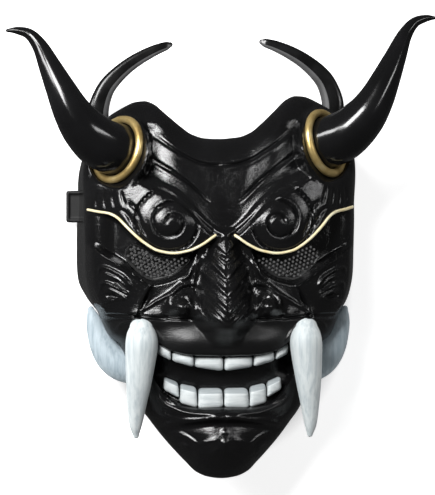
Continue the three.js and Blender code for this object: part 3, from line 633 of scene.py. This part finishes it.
def tooth(name, row, side, lower):
    """One tooth, a rounded block that follows the arch of the mouth, and which of its faces are the top bevel, which
    take painted shade.
    """
    x0, x1, top_in, top_out, low_in, low_out, front = row
    unit, faces = rounded_box(TOOTH["cells"], (1, 1, 1), TOOTH["corner"])
    share = (unit[:, 0] + 1) / 2
    rise = (unit[:, 1] + 1) / 2
    top = top_in + (top_out - top_in) * share
    low = low_in + (low_out - low_in) * share
    belly = TOOTH["belly"] * (1 - unit[:, 0] ** 2) * (1 - unit[:, 1] ** 2)
    x = x0 + (x1 - x0) * share
    y = low + (top - low) * rise
    forward = np.clip(unit[:, 2], 0, 1)
    z = front - TOOTH["depth"] + TOOTH["depth"] * unit[:, 2] + belly * forward
    arch = TOOTH["arch"] * (x ** 2 - ((x0 + x1) / 2) ** 2) / 2
    z = z - arch * 0.5
    if lower:
        z = z - TOOTH["bevel"] * np.clip((rise - TOOTH["bevel_from"]) / (1 - TOOTH["bevel_from"]), 0, 1) * forward
        x = x + (share - 0.5) * TOOTH["splay"] * (0.5 - rise)
    else:
        z = z - TOOTH["tuck"] * smooth(0.35, 0.0, rise) * forward
    points = np.stack([x * side, y, z], 1)
    piece = make(name, points, faces if side > 0 else [f[::-1] for f in faces], 70)
    return piece, (unit[faces].mean(axis=1)[:, 1] + 1) / 2 > TOOTH["bevel_from"]


def brow_bead(name, side):
    u = np.linspace(BEAD["start"], BEAD["end"], 120)
    y = line(BROW, u) + BEAD["above"]
    z = np.maximum(face_height(u, y, 0, main_forms), face_height(u, y + 1, 0, main_forms))
    kernel = np.ones(7) / 7
    z = np.convolve(np.pad(z, 3, mode="edge"), kernel, "valid") + BEAD["radius"] * 0.5
    rows = [(a, b, c, BEAD["radius"]) for a, b, c in zip(u[::4], y[::4], z[::4])]
    return loft(name, rows, sides=12, steps=160, round_start=True, mirror=side)


def eye_mesh(name, side):
    """Plate pierced by staggered holes."""
    plate = prism(name, eye_outline(EYE_PLATE["gap"]), EYE_PLATE["low"], EYE_PLATE["high"], side)
    inside = eye_outline(EYE_PLATE["gap"] + EYE_PLATE["border"])
    slant = math.radians(EYE_HOLES["slant"])
    pitch = EYE_HOLES["pitch"]
    turn = np.arange(EYE_HOLES["corners"]) * 2 * math.pi / EYE_HOLES["corners"]
    ring = EYE_HOLES["radius"] * np.stack([np.cos(turn), np.sin(turn)], 1)
    cutter = None
    for row in range(-EYE_HOLES["rows"], EYE_HOLES["rows"] + 1):
        for column in range(-EYE_HOLES["columns"], EYE_HOLES["columns"] + 1):
            x, y = (column + 0.5 * (row % 2)) * pitch, row * pitch * EYE_HOLES["row_step"]
            p = np.array((x * math.cos(slant) - y * math.sin(slant),
                          x * math.sin(slant) + y * math.cos(slant))) + EYE_MIDDLE
            if holds(inside, p):
                hole = prism("hole", p + ring, EYE_PLATE["low"] - 2, EYE_PLATE["high"] + 2, side)
                cutter = joined(cutter, hole) if cutter else hole
    take_away(plate, cutter)
    return plate


def joined(a, b):
    both = [a, b]
    with bpy.context.temp_override(active_object=a, object=a, selected_editable_objects=both, selected_objects=both):
        bpy.ops.object.join()
    return a


def holds(outline, p):
    inside = False
    for i in range(len(outline)):
        a, b = outline[i], outline[(i + 1) % len(outline)]
        if (a[1] > p[1]) != (b[1] > p[1]) and p[0] < (b[0] - a[0]) * (p[1] - a[1]) / (b[1] - a[1]) + a[0]:
            inside = not inside
    return inside


def buckle_piece():
    half = ((BUCKLE["inner"] - BUCKLE["outer"]) / 2, (BUCKLE["high"] - BUCKLE["low"]) / 2,
            (BUCKLE["front"] - BUCKLE["back"]) / 2)
    points, faces = rounded_box(24, half, BUCKLE["corner"])
    sunk = smooth(0.86, 0.72, np.abs(points[:, 1]) / half[1]) * smooth(0.8, 0.6, np.abs(points[:, 0]) / half[0])
    points[:, 2] -= BUCKLE["sunk"] * sunk * (points[:, 2] > 0)
    points += np.array(((BUCKLE["inner"] + BUCKLE["outer"]) / 2, (BUCKLE["low"] + BUCKLE["high"]) / 2,
                        (BUCKLE["front"] + BUCKLE["back"]) / 2))
    return make("strap_buckle_fine", points, faces, 50)


class Nodes:
    """A principled material with helpers for its node tree."""

    def __init__(self, name, **values):
        self.material = bpy.data.materials.new(name)
        self.material.use_nodes = True
        self.tree = self.material.node_tree
        self.shader = self.tree.nodes["Principled BSDF"]
        for key, value in values.items():
            self.shader.inputs[key.replace("_", " ")].default_value = value
        self.coords = self.add("ShaderNodeTexCoord").outputs["Object"]

    def add(self, kind, **settings):
        node = self.tree.nodes.new(kind)
        for key, value in settings.items():
            setattr(node, key, value)
        return node

    def link(self, a, b):
        self.tree.links.new(a, b)

    def noise(self, scale, detail=3, stretch=(1, 1, 1), rough=0.5, distort=0.0):
        mapping = self.add("ShaderNodeMapping")
        mapping.inputs["Scale"].default_value = stretch
        self.link(self.coords, mapping.inputs["Vector"])
        noise = self.add("ShaderNodeTexNoise")
        noise.inputs["Scale"].default_value = scale
        noise.inputs["Detail"].default_value = detail
        noise.inputs["Roughness"].default_value = rough
        noise.inputs["Distortion"].default_value = distort
        self.link(mapping.outputs["Vector"], noise.inputs["Vector"])
        return noise.outputs["Fac"]

    def height(self, low, high):
        """Share of the way up the face between two heights of the design."""
        mapping = self.add("ShaderNodeMapping")
        size = (high - low) / 1000
        mapping.inputs["Scale"].default_value = (1, 1 / size, 1)
        mapping.inputs["Location"].default_value = (0, -(low + SHIFT_Y) / 1000 / size, 0)
        self.link(self.coords, mapping.inputs["Vector"])
        split = self.add("ShaderNodeSeparateXYZ")
        self.link(mapping.outputs["Vector"], split.inputs["Vector"])
        return split.outputs["Y"]

    def ramp(self, value, stops):
        ramp = self.add("ShaderNodeValToRGB")
        while len(ramp.color_ramp.elements) < len(stops):
            ramp.color_ramp.elements.new(0.5)
        for element, (place, colour) in zip(ramp.color_ramp.elements, stops):
            element.position = place
            element.color = (*colour, 1) if isinstance(colour, tuple) else (colour, colour, colour, 1)
        self.link(value, ramp.inputs["Fac"])
        return ramp.outputs["Color"]

    def mix(self, value, a, b):
        mix = self.add("ShaderNodeMix", data_type="RGBA")
        for socket, source in ((0, value), (6, a), (7, b)):
            if isinstance(source, (int, float)):
                mix.inputs[socket].default_value = source
            elif isinstance(source, tuple):
                mix.inputs[socket].default_value = (*source, 1)
            else:
                self.link(source, mix.inputs[socket])
        return mix.outputs[2]

    def bump(self, *layers):
        """Stacked bump layers: value, strength, distance in metres."""
        normal = None
        for value, strength, distance in layers:
            bump = self.add("ShaderNodeBump")
            bump.inputs["Strength"].default_value = strength
            bump.inputs["Distance"].default_value = distance
            self.link(value, bump.inputs["Height"])
            if normal is not None:
                self.link(normal, bump.inputs["Normal"])
            normal = bump.outputs["Normal"]
        self.link(normal, self.shader.inputs["Normal"])

    def to(self, value, socket):
        self.link(value, self.shader.inputs[socket])


def black_lacquer():
    m = Nodes("black_lacquer", Specular_IOR_Level=0.5)
    broad = m.noise(22, 3)
    fine = m.noise(900, 4, rough=0.6)
    brushed = m.noise(160, 4, stretch=(1, 5, 1), distort=0.4)
    m.to(m.ramp(broad, [(0.3, (0.0030, 0.0030, 0.0032)), (0.75, (0.0060, 0.0060, 0.0063))]), "Base Color")
    gloss = m.ramp(m.mix(0.5, brushed, broad), [(0.35, 0.10), (0.7, 0.20)])
    lip = m.ramp(m.height(LIP["low"], LIP["high"]), [(0.0, 0.0), (0.12, 1.0), (0.85, 1.0), (1.0, 0.0)])
    m.to(m.mix(lip, gloss, (0.36, 0.36, 0.36)), "Roughness")
    m.bump((fine, 0.42, 0.0004), (brushed, 0.12, 0.0006))
    return m.material


def horn_lacquer():
    m = Nodes("horn_lacquer", Specular_IOR_Level=0.5)
    broad = m.noise(30, 3)
    fine = m.noise(500, 3)
    m.to(m.ramp(broad, [(0.3, (0.003, 0.003, 0.0032)), (0.75, (0.006, 0.006, 0.0065))]), "Base Color")
    m.to(m.ramp(broad, [(0.3, 0.08), (0.7, 0.18)]), "Roughness")
    m.bump((fine, 0.10, 0.0003))
    return m.material


def ring_gold():
    m = Nodes("ring_gold", Metallic=0.75, Specular_IOR_Level=0.5)
    broad = m.noise(90, 4)
    fine = m.noise(700, 3)
    shades = [(0.3, (0.40, 0.27, 0.09)), (0.55, (0.62, 0.46, 0.19)), (0.8, (0.78, 0.65, 0.35))]
    m.to(m.ramp(broad, shades), "Base Color")
    m.to(m.ramp(fine, [(0.3, 0.30), (0.7, 0.46)]), "Roughness")
    m.bump((fine, 0.12, 0.0003), (broad, 0.15, 0.0006))
    return m.material


def line_gold():
    m = Nodes("line_gold", Metallic=0.15, Specular_IOR_Level=0.5)
    broad = m.noise(120, 3)
    m.to(m.ramp(broad, [(0.3, (0.74, 0.62, 0.34)), (0.7, (0.90, 0.84, 0.60))]), "Base Color")
    m.to(m.ramp(m.noise(600, 3), [(0.3, 0.35), (0.7, 0.5)]), "Roughness")
    m.bump((m.noise(800, 2), 0.1, 0.0002))
    return m.material


def ivory(name, light, dark, stretch):
    m = Nodes(name, Specular_IOR_Level=0.35)
    streak = m.noise(420, 5, stretch=stretch, rough=0.62)
    cloud = m.noise(45, 3)
    base = m.ramp(streak, [(0.34, dark), (0.56, light)])
    m.to(m.mix(m.ramp(cloud, [(0.4, 0.0), (0.75, 0.45)]), base, dark), "Base Color")
    m.to(m.ramp(streak, [(0.3, 0.62), (0.7, 0.42)]), "Roughness")
    m.bump((streak, 0.18, 0.0004))
    return m.material


def satin(name, low, high, roughness):
    m = Nodes(name, Specular_IOR_Level=0.4)
    broad = m.noise(60, 4)
    m.to(m.ramp(broad, [(0.3, (low, low, low)), (0.75, (high, high, high * 1.03))]), "Base Color")
    m.to(m.ramp(broad, [(0.3, roughness), (0.7, roughness + 0.15)]), "Roughness")
    m.bump((m.noise(900, 3), 0.12, 0.0003))
    return m.material


def build_object():
    lacquer, horn_black = black_lacquer(), horn_lacquer()
    gold, pale_gold = ring_gold(), line_gold()
    tusk_white = ivory("tusk_white", (0.58, 0.62, 0.62), (0.40, 0.45, 0.47), (1, 0.06, 1))
    side_white = ivory("side_tusk_white", (0.40, 0.47, 0.51), (0.27, 0.33, 0.37), (1, 0.10, 1))
    tooth_white = ivory("tooth_white", (0.60, 0.63, 0.63), (0.44, 0.48, 0.49), (0.12, 1, 1))
    # Darker copy of the tooth white: painted shade for the top bevels of the lower teeth.
    tooth_painted_shade = ivory("tooth_painted_shade", (0.36, 0.39, 0.40), (0.26, 0.29, 0.30), (0.12, 1, 1))
    mesh_black = satin("mesh_black", 0.006, 0.014, 0.28)
    rear_black, rear_grey = satin("rear_black", 0.003, 0.007, 0.14), satin("rear_grey", 0.06, 0.11, 0.45)
    buckle_black = satin("buckle_black", 0.005, 0.012, 0.5)

    dress(face_piece(), "face_shell", lacquer)
    horn_rows = [tuple(HORN_FOOT - 2 * HORN_AXIS) + (18.0,), tuple(HORN_FOOT) + (18.0,)] + HORN
    for side, word in ((-1, "left"), (1, "right")):
        dress(loft(f"horn_fine_{word}", horn_rows, 54, 120, flute=0.006, mirror=side),
              f"horn_{word}", horn_black)
        dress(torus(f"horn_ring_fine_{word}", side), f"horn_ring_{word}", gold)
        rear_horn(f"rear_horn_fine_{word}", f"rear_horn_{word}", side, [rear_black, rear_grey])
        dress(loft(f"tusk_fine_{word}", TUSK, 40, 80, 0.9, 0.004, 7, True, mirror=side),
              f"tusk_{word}", tusk_white)
        dress(loft(f"side_tusk_fine_{word}", SIDE_TUSK, 40, 70, 0.8, 0.012, 5, True, mirror=side),
              f"side_tusk_{word}", side_white)
        for i, row in enumerate(UPPER_TEETH):
            piece, _ = tooth(f"upper_tooth_fine_{i + 1}_{word}", row, side, False)
            dress(piece, f"upper_tooth_{i + 1}_{word}", tooth_white)
        for i, row in enumerate(LOWER_TEETH):
            piece, bevel = tooth(f"lower_tooth_fine_{i + 1}_{word}", row, side, True)
            dress(piece, f"lower_tooth_{i + 1}_{word}", [tooth_white, tooth_painted_shade])
            # The top bevel faces of the lower teeth get the darker copy of the tooth white as painted shade.
            piece.data.polygons.foreach_set("material_index", bevel.astype(np.int32))
        dress(eye_mesh(f"eye_mesh_fine_{word}", side), f"eye_mesh_{word}", mesh_black)
        dress(brow_bead(f"brow_line_fine_{word}", side), f"brow_line_{word}", pale_gold)
    dress(buckle_piece(), "strap_buckle", buckle_black)


def rear_horn(name, node, side, materials):
    """Rear horn with a black outer band and a paler strip along its inner edge."""
    def section(turn):
        c, s = np.cos(turn), np.sin(turn)
        power = REAR_SECTION["power"]
        return np.sign(c) * np.abs(c) ** power, np.sign(s) * np.abs(s) ** power * REAR_SECTION["flat"]
    sides = REAR_SECTION["sides"]
    piece = loft(name, REAR_HORN, sides, REAR_SECTION["steps"], shape=section, mirror=side)
    dress(piece, node, materials)
    turn = (np.arange(sides) + 0.5) * 2 * math.pi / sides
    inner = np.cos(turn) < REAR_SECTION["strip"]
    index = np.zeros(len(piece.data.polygons), np.int32)
    quads = len(index) - 2
    index[:quads] = np.tile(inner, quads // sides)
    piece.data.polygons.foreach_set("material_index", index)


def area_light(name, place, aim, size, watts):
    light = bpy.data.lights.new(name, "AREA")
    light.shape = "RECTANGLE"
    light.size, light.size_y = size
    light.energy = watts
    lamp = bpy.data.objects.new(name, light)
    lamp.location = place
    lamp.rotation_euler = (Vector(aim) - Vector(place)).to_track_quat("-Z", "Y").to_euler()
    bpy.context.scene.collection.objects.link(lamp)


def build_stage():
    scene = bpy.context.scene
    mesh = bpy.data.meshes.new("floor")
    far, drop = 6, -0.0005
    mesh.from_pydata([(-far, -far, drop), (far, -far, drop), (far, far, drop), (-far, far, drop)], [], [(0, 1, 2, 3)])
    floor = bpy.data.objects.new("floor", mesh)
    scene.collection.objects.link(floor)
    m = Nodes("pale_floor", Roughness=0.9, Specular_IOR_Level=0.1)
    m.shader.inputs["Emission Color"].default_value = (1, 1, 1, 1)
    m.to(m.ramp(m.noise(3, 2), [(0.3, (0.86, 0.86, 0.86)), (0.7, (0.90, 0.90, 0.90))]), "Base Color")
    # Painted shadow: the floor's glow drops to a low level in an oval under the mask.
    mapping = m.add("ShaderNodeMapping")
    mapping.inputs["Scale"].default_value = (1 / FLOOR_GLOW_AND_PAINTED_SHADOW["wide"], 1 / FLOOR_GLOW_AND_PAINTED_SHADOW["tall"], 1)
    mapping.inputs["Location"].default_value = (0, -SHIFT_Y / 1000 / FLOOR_GLOW_AND_PAINTED_SHADOW["tall"], 0)
    m.link(m.coords, mapping.inputs["Vector"])
    under = m.add("ShaderNodeTexGradient", gradient_type="SPHERICAL")
    m.link(mapping.outputs["Vector"], under.inputs["Vector"])
    m.to(m.ramp(under.outputs["Fac"], [(0.0, FLOOR_GLOW_AND_PAINTED_SHADOW["open"]), (0.22, FLOOR_GLOW_AND_PAINTED_SHADOW["under"])]), "Emission Strength")
    mesh.materials.append(m.material)
    floor.visible_glossy = False

    world = bpy.data.worlds.new("studio")
    world.use_nodes = True
    world.node_tree.nodes["Background"].inputs["Color"].default_value = (1, 1, 1, 1)
    world.node_tree.nodes["Background"].inputs["Strength"].default_value = WORLD_GLOW
    scene.world = world
    for name, place, aim, size, watts in LIGHTS:
        area_light(name, place, aim, size, watts)

    x, y, z = CAMERA["target"]
    target = Vector((x / 1000, (y + SHIFT_Y) / 1000, z / 1000))
    yaw = math.radians(CAMERA["yaw"])
    distance = CAMERA["distance"] / 1000
    camera = bpy.data.cameras.new("camera")
    camera.lens = camera.sensor_width * CAMERA["distance"] / CAMERA["view"]
    camera.clip_start, camera.clip_end = 0.05, 50
    eye = bpy.data.objects.new("camera", camera)
    eye.location = target + distance * Vector((-math.sin(yaw), 0, math.cos(yaw)))
    eye.rotation_euler = (0, -yaw, 0)
    scene.collection.objects.link(eye)
    scene.camera = eye
    scene.view_settings.view_transform = "Standard"
    scene.view_settings.look = "None"


build_object()
build_stage()
